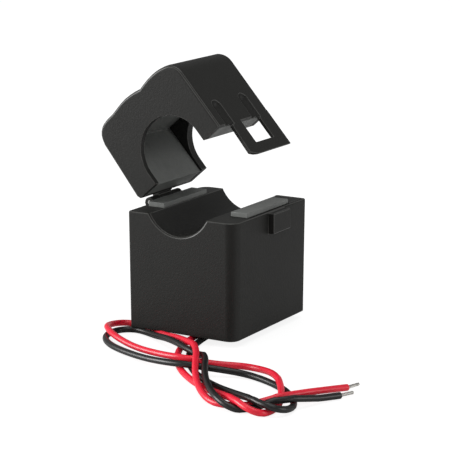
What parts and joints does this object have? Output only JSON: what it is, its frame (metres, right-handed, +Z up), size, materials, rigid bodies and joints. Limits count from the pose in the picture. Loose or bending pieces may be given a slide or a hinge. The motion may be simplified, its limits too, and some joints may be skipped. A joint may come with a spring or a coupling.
{
  "type": "split-core current transformer",
  "caption": "Hinged split-core current transformer that snaps shut round a conductor, with two flying leads.",
  "frame": {"origin": "middle of the length of the base's half-round trough, on the axis of the conductor opening", "axes": "+Z up from the base to the hinged half, +Y along the conductor towards the back, +X towards the latch"},
  "size_m": [0.0849, 0.0807, 0.068],
  "materials": {
    "housing": "satin",
    "cover": "matte",
    "core": "satin",
    "bobbin": "matte",
    "copper": "satin",
    "tape": "gloss",
    "tin": "satin",
    "sleeve": "matte",
    "steel": "satin",
    "red_pvc": "satin",
    "black_pvc": "satin",
    "pad": "matte"
  },
  "bodies": {
    "base": {"base_housing": "housing", "bottom_cover": "cover", "lower_core": "core", "coil_bobbin": "bobbin", "secondary_winding": "copper", "winding_tape": "tape", "bobbin_pins": "tin", "lead_sleeve_red": "sleeve", "lead_sleeve_black": "sleeve", "hinge_pin": "steel", "lead_red": "red_pvc", "lead_black": "black_pvc", "lead_tip_red": "tin", "lead_tip_black": "tin"},
    "lid": {"lid_housing": "housing", "upper_core": "core", "core_pad": "pad"}
  },
  "joints": [
    {"name": "lid_hinge", "type": "hinge", "parent": "base", "child": "lid", "pos_m": [-0.0153, 0, -0.00405], "axis": [0, -1, 0], "range_deg": [-41.4, 48.6]}
  ]
}
